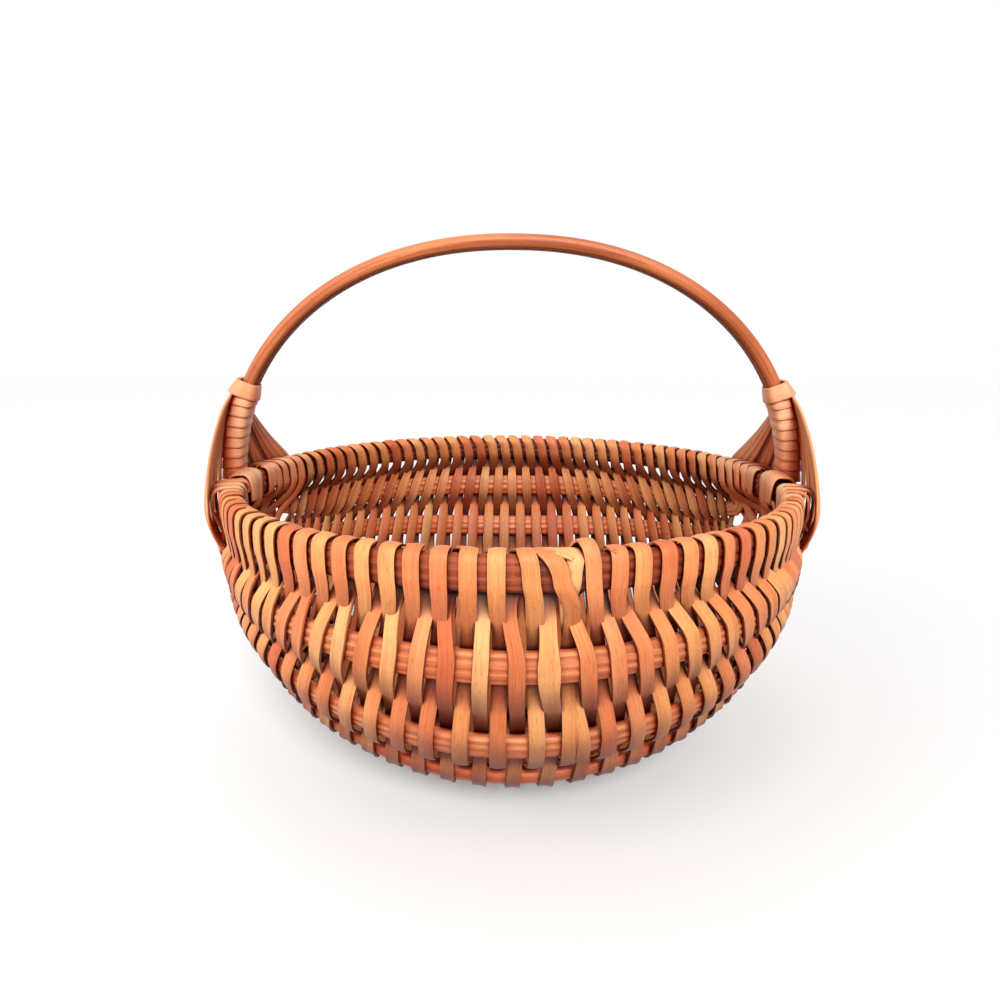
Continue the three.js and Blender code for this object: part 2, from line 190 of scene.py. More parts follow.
# How the strips wrap the rim; angles start outside or inside it and go over the top
wraps = {
    "from": -32,
    "to": 212,
    "firstFrom": 4,
    "lastTo": -6,
    "slack": 0.1,
    "roundness": 0.6,
    "crossOver": 0.55,
    "crowdFrom": 8,
    "crowdTo": 2,
    "steps": 20,
}

# How the strips stray to the side; those in the right half of the front wall lie further right
stray = {
    "flow": 0.7,
    "flowRates": (0.11, 1.6, 4.2),
    "own": 0.35,
    "ownRates": (3.7, 2.5, 9.1),
    "shift": 5.2,
    "shiftBelow": 5.8,
    "shiftDrop": 0.54,
    "shiftStarts": (-26, 20),
    "shiftEnds": (98, 150),
    "shiftFades": (0.5, 1.5),
}

# Single wraps and crossings that lie out of line, wider or higher than the rest
oddLegs = {
    "rimShift": {34: -1, 36: -2.2, 38: -6.6, 40: -2.2, 42: -0.6, 44: -1},
    "rimLean": {36: 2.2, 38: 7, 40: 2.4},
    "rimLift": {40: 2.6},
    "rimStand": {38: 0.8},
    "width": {37: 1.36, 40: 0.9, 57: 0.86},
    "crossShift": {(37, 1): -1.6, (38, 2): -2.0},
}

ears = {
    "collarRise": 42.4,
    "collarHeight": 7,
    "bandThickness": 1,
    "clearance": 0.3,
    "windingRoundness": 0.62,
}

legCount = weave["splints"] * weave["legs"]
quarterTurn = math.pi / 2
earBulge = cane["halfLength"] - rim["halfLength"]
wrapOut = cane["thickness"] / 2 + 1.5 * ears["clearance"] + ears["bandThickness"]
fanStand = wrapOut + ribs["thicknessAtRim"] / 2
upwards = Vector((0, 0, 1))
backwards = Vector((0, 1, 0))


def mix(a, b, share):
    return a + (b - a) * share


def smooth(value, low, high):
    share = min(max((value - low) / (high - low), 0), 1)
    return share * share * (3 - 2 * share)


def turnAway(vector, along):
    return (vector - along * vector.dot(along)).normalized()


# Smooth noise that changes with two or three values, each times its own rate. With two values
# the last rate only picks a place in the noise
def unevenness(rates, one, other, third=1):
    return noise.noise(Vector((one * rates[0], other * rates[1], third * rates[2])))


# A curve from one point to the next that leaves and arrives along the given ways
def bend(start, leaving, end, arriving, t):
    return (start * (2 * t ** 3 - 3 * t ** 2 + 1) + leaving * (t ** 3 - 2 * t ** 2 + t)
            + end * (3 * t ** 2 - 2 * t ** 3) + arriving * (t ** 3 - t ** 2))


# The bowl's surface: swing goes from ear to ear, drop from the front rim to the back one
def flatten(depth):
    soft = bowl["softness"]
    return bowl["flatDepth"] - soft * math.log(1 + math.exp((bowl["flatDepth"] - depth) / soft))


def bowlPoint(swing, drop):
    power = 2 / bowl["squareness"]
    level = math.cos(drop)
    fall = max(math.sin(drop), 0)
    halfLength = rim["halfLength"] + earBulge * (1 - (1 - fall) ** bowl["bulgePower"])
    forward = math.copysign(abs(level) ** power, level)
    return Vector((
        halfLength * math.sin(swing),
        -rim["halfDepth"] * math.cos(swing) * forward,
        rimLevel - flatten(bowl["depth"] * math.cos(swing) * fall ** power),
    ))


def bowlOut(swing, drop):
    power = 2 / bowl["squareness"]
    exponent = bowl["squareness"] - 1
    forward = abs(math.cos(drop)) ** power
    fall = max(math.sin(drop), 0) ** power
    depth = bowl["depth"] * math.cos(swing) * fall
    sag = math.exp(min((bowl["flatDepth"] - depth) / bowl["softness"], bowl["sagLimit"]))
    keep = sag / (1 + sag)
    return Vector((
        math.sin(swing) / rim["halfLength"],
        -math.copysign(1, math.cos(drop)) * math.cos(swing) * forward ** exponent / rim["halfDepth"],
        -math.cos(swing) * fall ** exponent / (bowl["depth"] * keep),
    )).normalized()


def rimPlace(swing, side):
    point = Vector((rim["halfLength"] * math.sin(swing), side * rim["halfDepth"] * math.cos(swing), rimLevel))
    out = Vector((math.sin(swing) / rim["halfLength"], side * math.cos(swing) / rim["halfDepth"], 0))
    return point, out.normalized()


# A place on a handle post, left (-1) or right (1), by its rise above the rim
def postPlace(end, rise):
    power = 2 / cane["squareness"]
    share = min(rise / cane["rise"], 1)
    angle = math.asin(share ** (1 / power))
    x = cane["halfLength"] * math.cos(angle) ** power
    steep = cane["squareness"] - 1
    out = Vector((end * (x / cane["halfLength"]) ** steep / cane["halfLength"], 0,
                  share ** steep / cane["rise"])).normalized()
    return Vector((end * x, 0, rimLevel + rise)), out


# Ribs run round the bowl and draw together near the ears
def makeRib(angle, earAngle, side, order):
    return {"name": f"rib_{'front' if side < 0 else 'back'}_{order}", "side": side, "order": order,
            "angle": angle, "earAngle": earAngle}


def ribPlace(rib, swing):
    if rib["side"] == 0:
        out = bowlOut(swing, quarterTurn)
        point = bowlPoint(swing, quarterTurn) - out * cane["inset"] * math.cos(swing)
        return {"point": point, "out": out, "width": cane["width"], "thickness": cane["thickness"],
                "drop": quarterTurn}
    share = abs(swing) / ribs["gatherSwing"]
    fall = math.radians(mix(rib["angle"], rib["earAngle"], share ** ribs["gatherPower"]))
    drop = fall if rib["side"] < 0 else math.pi - fall
    return {"point": bowlPoint(swing, drop), "out": bowlOut(swing, drop), "drop": drop,
            "width": mix(ribs["width"], ribs["widthAtEar"], share ** 2),
            "thickness": mix(ribs["thickness"], ribs["thicknessAtEar"], share ** 2)}


# Where a rib passes outside the rim, beside the wrapped post
def ribAtRim(rib, end):
    rank = len(ribs["frontAngles"]) - rib["order"]
    word = "front" if rib["side"] < 0 else "back"
    y = ribs["innerAtRim"] + rank * ribs[word + "PitchAtRim"]
    lift = ribs[word + "EarLifts"][rib["order"] - 1]
    point, out = rimPlace(end * math.acos(y / rim["halfDepth"]), rib["side"])
    turned = Vector((end * math.cos(ribs["frontTwist"]), -math.sin(ribs["frontTwist"]), 0))
    return point + out * lift, turned if rib["side"] < 0 else out


def widthAtRim(rib):
    return ribs["frontWidthAtRim" if rib["side"] < 0 else "backWidthAtRim"]


# From the weave a rib swings out and up to that place
def earPlace(rib, end, t):
    start = ribPlace(rib, end * ribs["gatherSwing"])
    before = ribPlace(rib, end * ribs["gatherSwing"] * ribs["leavingFrom"])
    point, out = ribAtRim(rib, end)
    reach = (point - start["point"]).length
    leaving = (start["point"] - before["point"]).normalized() * reach
    return {"point": bend(start["point"], leaving, point, upwards * reach, t),
            "out": start["out"].lerp(out, t).normalized(), "drop": start["drop"],
            "width": mix(ribs["widthAtEar"], widthAtRim(rib), t),
            "thickness": mix(ribs["thicknessAtEar"], ribs["thicknessAtRim"], t)}


# Above the rim it fans in along the outside of the post, and its tip ends under the collar
def fanPlace(rib, end, share):
    startPoint, startOut = ribAtRim(rib, end)
    tipRise = ears["collarRise"] + ears["collarHeight"] - ribs["tipBelowCollar"]
    rise = tipRise * share
    inward = min(rise / (ears["collarRise"] - ears["clearance"]), 1)
    tipY = rib["side"] * (len(ribs["frontAngles"]) - rib["order"] + 0.5) * ribs["tipPitch"]
    tipStand = cane["thickness"] / 2 + ears["clearance"] + ribs["tipThickness"] / 2
    point, out = postPlace(end, rise)
    nearCollar = smooth(rise, ears["collarRise"] - ribs["leanIn"], ears["collarRise"])
    point = point + out * mix(fanStand, tipStand, nearCollar)
    startDrop = cane["halfLength"] + fanStand - abs(startPoint.x)
    point.x -= end * startDrop * (1 - inward)
    point.y = mix(startPoint.y, tipY, inward)
    return {"point": point, "out": startOut.lerp(out, inward).normalized(),
            "width": mix(widthAtRim(rib), ribs["tipWidth"], inward),
            "thickness": mix(ribs["thicknessAtRim"], ribs["tipThickness"], inward)}


def makeRibs(word, side):
    angles = zip(ribs[word + "Angles"], ribs[word + "EarAngles"])
    return [makeRib(angle, earAngle, side, i + 1) for i, (angle, earAngle) in enumerate(angles)]


frontRibs = makeRibs("front", -1)
backRibs = makeRibs("back", 1)
keel = {"side": 0, "order": 5}


def applyAll(piece):
    bpy.context.view_layer.objects.active = piece
    for modifier in list(piece.modifiers):
        bpy.ops.object.modifier_apply(modifier=modifier.name)


def finishPiece(piece, name, node, material):
    piece.name = name
    piece.data.name = name
    piece.data.materials.clear()
    piece.data.materials.append(material)
    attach(piece, "root")
    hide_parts(node)


# On the UV map a strip or form lies in its lane, with its length along V, in metres
unwrap = {
    "stripLane": 0.02,
    "formLane": 0.1,
    "formGirth": 0.03,
}


# A grid laid along a row of places, then thickened and rounded into a strip
def layStrip(places, thickness, columns, lane, crown=0.1, edge=0.3):
    bpy.ops.object.select_all(action="DESELECT")
    rows = len(places) - 1
    bpy.ops.mesh.primitive_grid_add(x_subdivisions=rows, y_subdivisions=columns, size=1)
    strip = bpy.context.object
    mesh = strip.data
    spots = [(round((v.co.x + 0.5) * rows), v.co.y) for v in mesh.vertices]
    for vertex, (row, across) in zip(mesh.vertices, spots):
        place = places[row]
        side = place["out"].cross(place["along"])
        lift = crown * (1 - (2 * across) ** 2)
        vertex.co = (place["point"] + side * across * place["width"] + place["out"] * lift) * mm
    uv = mesh.uv_layers[0].data
    for loop in mesh.loops:
        row, across = spots[loop.vertex_index]
        place = places[row]
        uv[loop.index].uv = (lane * unwrap["stripLane"] + across * place["width"] * mm, place["run"] * mm)
    thick = strip.modifiers.new("thick", "SOLIDIFY")
    thick.thickness = thickness * mm
    thick.offset = 0
    soft = strip.modifiers.new("soft", "BEVEL")
    soft.width = edge * mm
    soft.segments = 2
    soft.limit_method = "ANGLE"
    soft.angle_limit = math.radians(60)
    applyAll(strip)
    faceOutwards(strip)
    return strip


def faceOutwards(piece):
    bpy.context.view_layer.objects.active = piece
    bpy.ops.object.mode_set(mode="EDIT")
    bpy.ops.mesh.select_all(action="SELECT")
    bpy.ops.mesh.normals_make_consistent(inside=False)
    bpy.ops.object.mode_set(mode="OBJECT")
    bpy.ops.object.shade_smooth()


# A grid wrapped round a row of places, one section at each, and merged into a closed form
def wrapForm(places, sectionOf, closed, lane):
    bpy.ops.object.select_all(action="DESELECT")
    rows = len(places) if closed else len(places) - 1
    columns = len(sectionOf(places[0]))
    bpy.ops.mesh.primitive_grid_add(x_subdivisions=rows, y_subdivisions=columns, size=1)
    form = bpy.context.object
    mesh = form.data
    spots = [(round((v.co.x + 0.5) * rows), round((v.co.y + 0.5) * columns)) for v in mesh.vertices]
    sections = [sectionOf(place) for place in places]
    for vertex, (row, column) in zip(mesh.vertices, spots):
        place = places[row % len(places)]
        across, lift = sections[row % len(places)][column % columns]
        side = place["out"].cross(place["along"])
        vertex.co = (place["point"] + side * across + place["out"] * lift) * mm
    uv = mesh.uv_layers[0].data
    for loop in mesh.loops:
        row, column = spots[loop.vertex_index]
        run = places[row]["run"] if row < len(places) else places[-1]["run"] + places[1]["run"]
        girth = column / columns * unwrap["formGirth"]
        uv[loop.index].uv = (lane * unwrap["formLane"] + girth, run * mm)
    bpy.ops.object.mode_set(mode="EDIT")
    bpy.ops.mesh.select_all(action="SELECT")
    bpy.ops.mesh.remove_doubles(threshold=1e-7)
    if not closed:
        bpy.ops.mesh.fill_holes(sides=0)
    bpy.ops.object.mode_set(mode="OBJECT")
    faceOutwards(form)
    return form


def measureRun(places):
    run = 0
    for i, place in enumerate(places):
        if i:
            run += (place["point"] - places[i - 1]["point"]).length
        place["run"] = run
    return places


def setAlong(places, closed=False):
    count = len(places)
    for i, place in enumerate(places):
        before = places[(i - 1) % count] if closed else places[max(i - 1, 0)]
        after = places[(i + 1) % count] if closed else places[min(i + 1, count - 1)]
        place["along"] = (after["point"] - before["point"]).normalized()
        place["out"] = turnAway(place["out"], place["along"])
    return places


# Section points of a strip of cane: rounded edges, and grooves along both flats
profile = {
    "edgeCrowding": 0.35,
    "grooveSharpness": 3,
    "grooveFades": (0.08, 0.3),
}


def caneSection(width, thickness, roundness, groove, spacing, flatPoints=20):
    crowding = profile["edgeCrowding"]
    points = []
    for face in (1, -1):
        for i in range(flatPoints + 1):
            even = 2 * i / flatPoints - 1
            crowded = -math.cos(math.pi * i / flatPoints)
            share = crowded * crowding + even * (1 - crowding)
            x = share * width / 2
            y = thickness / 2 * max(1 - abs(share) ** roundness, 0) ** 0.5
            cut = groove * (0.5 + 0.5 * math.cos(2 * math.pi * x / spacing)) ** profile["grooveSharpness"]
            y -= cut * smooth(1 - abs(share), *profile["grooveFades"])
            if 0 < i < flatPoints or face > 0:
                points.append((face * x, face * y))
    return points


def colour(red, green, blue):
    def channel(value):
        value /= 255
        return value / 12.92 if value <= 0.04045 else ((value + 0.055) / 1.055) ** 2.4
    return (channel(red), channel(green), channel(blue), 1)


# Stained wood, cane or reed: tones runs from its darkest patches to its lightest. Grain, speckle
# and lines say how much darker these make it, and two more colours paint shade into each crease and the
# inside of the bowl
def woodFinish(name, tones, grain=0.35, speckle=0.3, rough=0.46, patch=7.0, bump=0.00012, lines=0.12,
               darkest=(160, 60, 26), creaseShade=(168, 64, 28), inside=(98, 35, 15)):
    material = bpy.data.materials.new(name)
    material.use_nodes = True
    nodes, links = material.node_tree.nodes, material.node_tree.links
    shader = nodes["Principled BSDF"]
    shader.inputs["IOR"].default_value = 1.45
    shader.inputs["Specular IOR Level"].default_value = 0.34
    uv = nodes.new("ShaderNodeUVMap")

    # Noise stretched along the strip; across and along are waves in a metre
    def stretched(across, along, detail, roughness):
        scale = nodes.new("ShaderNodeMapping")
        scale.inputs["Scale"].default_value = (across, along, 1)
        links.new(uv.outputs["UV"], scale.inputs["Vector"])
        pattern = nodes.new("ShaderNodeTexNoise")
        pattern.inputs["Scale"].default_value = 1
        pattern.inputs["Detail"].default_value = detail
        pattern.inputs["Roughness"].default_value = roughness
        links.new(scale.outputs["Vector"], pattern.inputs["Vector"])
        return pattern.outputs["Fac"]

    def ranged(value, low, high, least=0, most=1):
        span = nodes.new("ShaderNodeMapRange")
        span.inputs["From Min"].default_value = low
        span.inputs["From Max"].default_value = high
        span.inputs["To Min"].default_value = least
        span.inputs["To Max"].default_value = most
        links.new(value, span.inputs["Value"])
        return span.outputs["Result"]

    def product(one, other):
        both = nodes.new("ShaderNodeMath")
        both.operation = "MULTIPLY"
        links.new(one, both.inputs[0])
        links.new(other, both.inputs[1])
        return both.outputs["Value"]

    # Stain that changes slowly along a strip
    stain = stretched(across=patch * 1.3, along=patch, detail=2, roughness=0.6)
    tone = nodes.new("ShaderNodeValToRGB")
    for i, (place, shade) in enumerate(tones):
        stop = tone.color_ramp.elements[i] if i < 2 else tone.color_ramp.elements.new(place)
        stop.position = place
        stop.color = colour(*shade)
    links.new(stain, tone.inputs["Fac"])

    # Fine grain along the strip, short dark flecks, and broader lines like the seams in split cane
    fine = stretched(across=2600, along=45, detail=4, roughness=0.65)
    fleck = stretched(across=1500, along=260, detail=2, roughness=0.5)
    broad = stretched(across=820, along=11, detail=2, roughness=0.5)
    darkGrain = ranged(fine, 0.3, 0.62, least=1 - grain)
    darkFleck = ranged(fleck, 0.3, 0.42, least=1 - speckle)
    darkLine = ranged(broad, 0.38, 0.54, least=1 - lines)
    allDark = product(product(darkGrain, darkFleck), darkLine)

    # Painted shade: ambient occlusion darkens the hollows between the strips, and the inside of the bowl, to
    # a deeper, redder brown
    def exposure(distance, low, high):
        hollow = nodes.new("ShaderNodeAmbientOcclusion")
        hollow.samples = 6
        hollow.inputs["Distance"].default_value = distance
        return ranged(hollow.outputs["AO"], low, high)

    def tinted(amount, deep, under):
        tint = nodes.new("ShaderNodeMix")
        tint.data_type = "RGBA"
        tint.inputs["A"].default_value = colour(*deep)
        tint.inputs["B"].default_value = (1, 1, 1, 1)
        links.new(amount, tint.inputs["Factor"])
        darken = nodes.new("ShaderNodeMix")
        darken.data_type = "RGBA"
        darken.blend_type = "MULTIPLY"
        darken.inputs["Factor"].default_value = 1
        links.new(under, darken.inputs["A"])
        links.new(tint.outputs["Result"], darken.inputs["B"])
        return darken.outputs["Result"]

    grained = tinted(allDark, darkest, tone.outputs["Color"])
    # Painted shade: deep red-brown in each narrow crease, then over the inside of the bowl and its lower
    # outside near the floor
    creaseShaded = tinted(exposure(distance=0.007, low=0.12, high=0.75), creaseShade, grained)
    insideShaded = tinted(exposure(distance=0.3, low=0.24, high=0.58), inside, creaseShaded)
    links.new(insideShaded, shader.inputs["Base Color"])

    gloss = ranged(fine, 0, 1, least=rough - 0.1, most=rough + 0.12)
    links.new(gloss, shader.inputs["Roughness"])
    raised = nodes.new("ShaderNodeBump")
    raised.inputs["Strength"].default_value = 0.7
    raised.inputs["Distance"].default_value = bump
    links.new(fine, raised.inputs["Height"])
    links.new(raised.outputs["Normal"], shader.inputs["Normal"])
    return material


weaverReed = woodFinish("weaver_reed", [
    (0.34, (224, 124, 74)), (0.44, (242, 150, 90)), (0.52, (252, 170, 102)), (0.64, (255, 190, 124)),
])
weaverReedDark = woodFinish("weaver_reed_dark", [
    (0.34, (212, 106, 62)), (0.46, (234, 131, 80)), (0.56, (248, 152, 96)), (0.70, (255, 178, 116)),
])
# The ribs take a paler painted shade in each crease and hollow
ribCane = woodFinish("rib_cane", [
    (0.34, (238, 147, 92)), (0.66, (255, 198, 138)),
], grain=0.35, speckle=0.2, rough=0.34, lines=0.4, bump=0.0002,
    creaseShade=(204, 112, 68), inside=(200, 124, 84))
rimWood = woodFinish("rim_wood", [
    (0.34, (152, 60, 26)), (0.66, (198, 96, 48)),
], grain=0.35, speckle=0.25, rough=0.4, lines=0.45, bump=0.0002)
handleCane = woodFinish("handle_cane", [
    (0.34, (188, 100, 54)), (0.66, (232, 144, 90)),
], grain=0.35, speckle=0.2, rough=0.36, lines=0.55, bump=0.00025)
# The windings take a paler painted shade in each crease and hollow
windingReed = woodFinish("winding_reed", [
    (0.34, (244, 160, 112)), (0.66, (255, 202, 154)),
], grain=0.25, speckle=0.15, rough=0.38, creaseShade=(206, 116, 70), inside=(200, 128, 88))
nailMetal = bpy.data.materials.new("nail_metal")
nailMetal.use_nodes = True
nailShader = nailMetal.node_tree.nodes["Principled BSDF"]
nailShader.inputs["Base Color"].default_value = colour(120, 82, 66)
nailShader.inputs["Roughness"].default_value = 0.5
showStage("finishes made")


def makeRimHoop():
    places = []
    for i in range(rim["steps"]):
        point, out = rimPlace(2 * math.pi * i / rim["steps"], -1)
        places.append({"point": point, "out": out})
    setAlong(measureRun(places), closed=True)
    height = rim["height"] - rim["bareInset"]
    section = caneSection(height, rim["thickness"], rim["roundness"], rim["grooves"], rim["grooveSpacing"])
    hoop = wrapForm(places, lambda place: section, True, lane=1)
    finishPiece(hoop, "rim_wood_hoop", "rim_hoop", rimWood)


def makeHandleHoop():
    places = []
    power = 2 / cane["squareness"]
    steep = cane["squareness"] - 1
    top = cane["steps"] // 2
    for i in range(top):
        angle = math.pi * i / top
        x = math.copysign(abs(math.cos(angle)) ** power, math.cos(angle)) * cane["halfLength"]
        rise = cane["rise"] * math.sin(angle) ** power
        out = Vector((math.copysign((abs(x) / cane["halfLength"]) ** steep, x) / cane["halfLength"], 0,
                      (rise / cane["rise"]) ** steep / cane["rise"]))
        places.append({"point": Vector((x, 0, rimLevel + rise)), "out": out.normalized()})
    for i in range(top):
        place = ribPlace(keel, math.pi * (i / top - 0.5))
        places.append({"point": place["point"], "out": place["out"]})
    setAlong(measureRun(places), closed=True)
    section = caneSection(cane["width"], cane["thickness"], cane["roundness"], cane["grooves"],
                          cane["grooveSpacing"], cane["flatPoints"])
    hoop = wrapForm(places, lambda place: section, True, lane=2)
    finishPiece(hoop, "handle_cane_hoop", "handle_hoop", handleCane)


def ribEnd(rib, end):
    places = [earPlace(rib, end, i / ribs["earSteps"]) for i in range(1, ribs["earSteps"] + 1)]
    return places + [fanPlace(rib, end, i / ribs["fanSteps"]) for i in range(1, ribs["fanSteps"] + 1)]


def makeRibForm(rib, lane):
    steps = ribs["steps"]
    places = ribEnd(rib, -1)[::-1]
    places += [ribPlace(rib, ribs["gatherSwing"] * i / steps) for i in range(-steps, steps + 1)]
    places += ribEnd(rib, 1)

    # Eases the corners where the rib turns up and where it starts to fan
    for _ in range(ribs["easings"]):
        points = [place["point"].copy() for place in places]
        for i in range(1, len(places) - 1):
            places[i]["point"] = points[i] * 0.5 + (points[i - 1] + points[i + 1]) * 0.25
    setAlong(measureRun(places))

    def section(place):
        width, thickness = place["width"], place["thickness"]
        grooves = ribs["grooves"] * min(thickness / ribs["thickness"], 1)
        spacing = width / ribs["groovesAcross"]
        return caneSection(width, thickness, ribs["roundness"], grooves, spacing, ribs["flatPoints"])

    form = wrapForm(places, section, False, lane=lane)
    finishPiece(form, rib["name"] + "_cane", rib["name"], ribCane)


makeRimHoop()
makeHandleHoop()
for lane, rib in enumerate(frontRibs + backRibs):
    makeRibForm(rib, lane + 3)
showStage("hoops and ribs bent")


# Legs of the weave are counted from the left; beyond the ends they lie closer together
def legSwing(leg):
    last = legCount - 1
    inner = min(max(leg, 0), last)
    beyond = leg - inner
    return ((inner - last / 2) * weave["pitch"] + beyond * earWeave["pitch"]) / rim["halfDepth"]


# Below the rim the legs stand further apart in the middle and closer together near the ears.
# The second value says how much further apart
def spreadSwing(leg, rib):
    swing = legSwing(leg)
    spread = weave["highSpread"] if rib["order"] == 1 else weave["lowSpread"]
    share = swing / legSwing(legCount - 1)
    return swing * (spread - (spread - 1) * share ** 2), spread - 3 * (spread - 1) * share ** 2


# How far a strip strays to the side
def wander(leg, drop):
    flow = unevenness(stray["flowRates"], leg, drop) * stray["flow"]
    own = unevenness(stray["ownRates"], leg, drop) * stray["own"]
    x = legSwing(leg) * rim["halfDepth"]
    shift = stray["shift"] + stray["shiftBelow"] * min(drop, stray["shiftDrop"])
    shift *= (smooth(x, *stray["shiftStarts"]) * (1 - smooth(x, *stray["shiftEnds"]))
              * (1 - smooth(drop, *stray["shiftFades"])))
    return flow + own + shift


# The wrap over the rim from one leg to the next; angles go from one side, over the top, to the other
def rimWrap(fromLeg, toLeg, side, start=wraps["from"], end=wraps["to"], aside=0, slant=0, inset=0):
    outward = 1 if fromLeg % 2 == 0 else -1
    outerLeg = fromLeg if outward > 0 else toLeg

    def odd(word, usual=0, alsoInset=False):
        return oddLegs[word].get(outerLeg, usual) if side < 0 and (alsoInset or not inset) else usual

    seat = weave["seat"] + wraps["slack"]
    face = rim["thickness"] / 2 + seat - inset + odd("rimStand")
    ridge = rim["height"] / 2 + seat + odd("rimLift", alsoInset=True)
    lean = odd("rimLean") + slant
    nudge = odd("rimShift") + aside
    middle = (legCount - 1) / 2
    crowd = smooth(abs(outerLeg - middle), middle - wraps["crowdFrom"], middle + wraps["crowdTo"])
    width = mix(weave["widest"], weave["widestAtEar"], crowd) * odd("width", 1, alsoInset=True)
    beyond = max(-outerLeg, outerLeg - legCount + 1, 0)
    overFan = earWeave["overFan"] * smooth(beyond, 1, earWeave["rows"] - 2)
    power = wraps["roundness"]
    over = wraps["crossOver"]
    count = wraps["steps"]
    places = []
    for i in range(count + 1):
        angle = math.radians(mix(start, end, i / count))
        c, s = math.cos(angle), math.sin(angle)
        out = math.copysign(abs(c) ** power, c) * (face + (overFan if c * outward > 0 else 0))
        rise = math.copysign(abs(s) ** power, s) * ridge
        share = smooth(i / count, over, 1) if outward > 0 else smooth(i / count, 0, 1 - over)
        drop = 0 if side < 0 else math.pi
        swing = mix(legSwing(fromLeg), legSwing(toLeg), share)
        swing += mix(wander(fromLeg, drop), wander(toLeg, drop), share) / rim["halfDepth"]
        own = 1 - share if outward > 0 else share
        down = 1 - i / count if outward > 0 else i / count
        swing += (nudge * own + lean * max(down - 0.5, 0) * 2) / rim["halfDepth"]
        point, rimOut = rimPlace(swing, side)
        normal = rimOut * outward * c + upwards * s
        places.append({"point": point + rimOut * outward * out + upwards * rise,
                       "out": normal.normalized(), "width": width, "fixed": True})
    return places


# The ribs that a leg meets, from front to back, with the room that it has beside its neighbours
def crossings(leg):
    met = []
    nearby = 0.01
    for rib in frontRibs + [keel] + backRibs[::-1]:
        if 0 <= leg < legCount:
            swing, growth = spreadSwing(leg, rib)
            step = ribPlace(rib, swing + nearby)["point"] - ribPlace(rib, swing - nearby)["point"]
            room = step.length / (2 * nearby) * growth * weave["pitch"] / rim["halfDepth"]
            met.append((rib, ribPlace(rib, swing), room))
            continue
        end = -1 if leg < 0 else 1
        beyond = -leg if leg < 0 else leg - legCount + 1
        if rib is keel:
            swing = end * (abs(legSwing(0)) + beyond * earWeave["keelSwing"])
            met.append((rib, ribPlace(rib, swing), earWeave["room"]))
            continue
        rimY = abs(rimPlace(legSwing(leg), -1)[0].y)
        ribY = abs(ribAtRim(rib, end)[0].y)
        rows = (abs(rimPlace(legSwing(0), -1)[0].y) - ribY) / earWeave["pitch"]
        if rimY > ribY + earWeave["clear"]:
            share = earWeave["reach"] * beyond / (rows + 1)
            met.append((rib, earPlace(rib, end, share), earWeave["room"]))
    return met


# Where a leg lies over and under the ribs that it meets
def legPlaces(leg):
    met = crossings(leg)
    swing = legSwing(leg)
    belowRim = upwards * weave["belowRim"]
    centres = [rimPlace(swing, -1)[0] - belowRim]
    centres += [place["point"] for _, place, _ in met]
    centres += [rimPlace(swing, 1)[0] - belowRim]
    earward = smooth(abs(leg - (legCount - 1) / 2), weave["thinFrom"], weave["thinTo"])
    spots = []
    for i, (rib, place, room) in enumerate(met):
        course = turnAway(centres[i + 2] - centres[i], place["out"])
        side = place["out"].cross(course)
        aside = wander(leg, place["drop"]) * min(room / weave["pitch"], 1)
        if rib["side"] < 0:
            aside += oddLegs["crossShift"].get((leg, rib["order"]), 0)
        across = side * aside
        stand = place["thickness"] / 2 + weave["seat"]
        parity = 1 if (leg + rib["order"]) % 2 == 0 else -1
        half = weave["flatShare"] * place["width"] / 2
        widest = weave["widest"] + (weave["backWider"] if rib["side"] > 0 else 0)
        wide = min(widest, weave["widestInRoom"] * room)
        narrow = min(wide, weave["narrowInRoom"] * room)
        if rib["side"] < 0 and rib["order"] == 1 and leg in oddLegs["width"]:
            wide *= oddLegs["width"][leg]
            narrow = weave["oddPinch"] * wide
        wide *= mix(1, weave["thinNearEar"], earward) if rib["side"] < 0 else 1
        wide *= 1 + weave["unevenWidth"] * unevenness(weave["widthRates"], leg, rib["order"])
        for along in (-half, half):
            spots.append({"point": place["point"] + place["out"] * parity * stand + course * along + across,
                          "along": course.copy(), "out": place["out"].copy(), "width": wide,
                          "narrow": narrow})
    return spots


# Bends a strip through its spots, with a narrow part where it passes its neighbours
def bendThrough(spots):
    def narrowAt(spot):
        return spot.get("narrow", spot["width"] * weave["pinch"])

    places = []
    for i, spot in enumerate(spots[:-1]):
        after = spots[i + 1]
        places.append(dict(spot))
        reach = (after["point"] - spot["point"]).length
        if spot.get("fixed") and after.get("fixed"):
            continue
        narrow = mix(narrowAt(spot), narrowAt(after), 0.5)
        count = max(round(reach / weave["step"]), 1)
        for j in range(1, count):
            t = j / count
            pinch = math.sin(math.pi * t) if reach > weave["pinchReach"] else 0
            width = mix(spot["width"], after["width"], t)
            places.append({"point": bend(spot["point"], spot["along"] * reach, after["point"],
                                         after["along"] * reach, t),
                           "out": spot["out"].lerp(after["out"], t).normalized(),
                           "width": mix(width, min(narrow, width), pinch)})
    places.append(dict(spots[-1]))
    return places


# Gives each spot without a way along the strip the way from the spot before to the one after
def stripAlong(spots):
    count = len(spots)
    for i, spot in enumerate(spots):
        if "along" not in spot:
            before = spots[max(i - 1, 0)]["point"]
            after = spots[min(i + 1, count - 1)]["point"]
            spot["along"] = (after - before).normalized()
    return spots


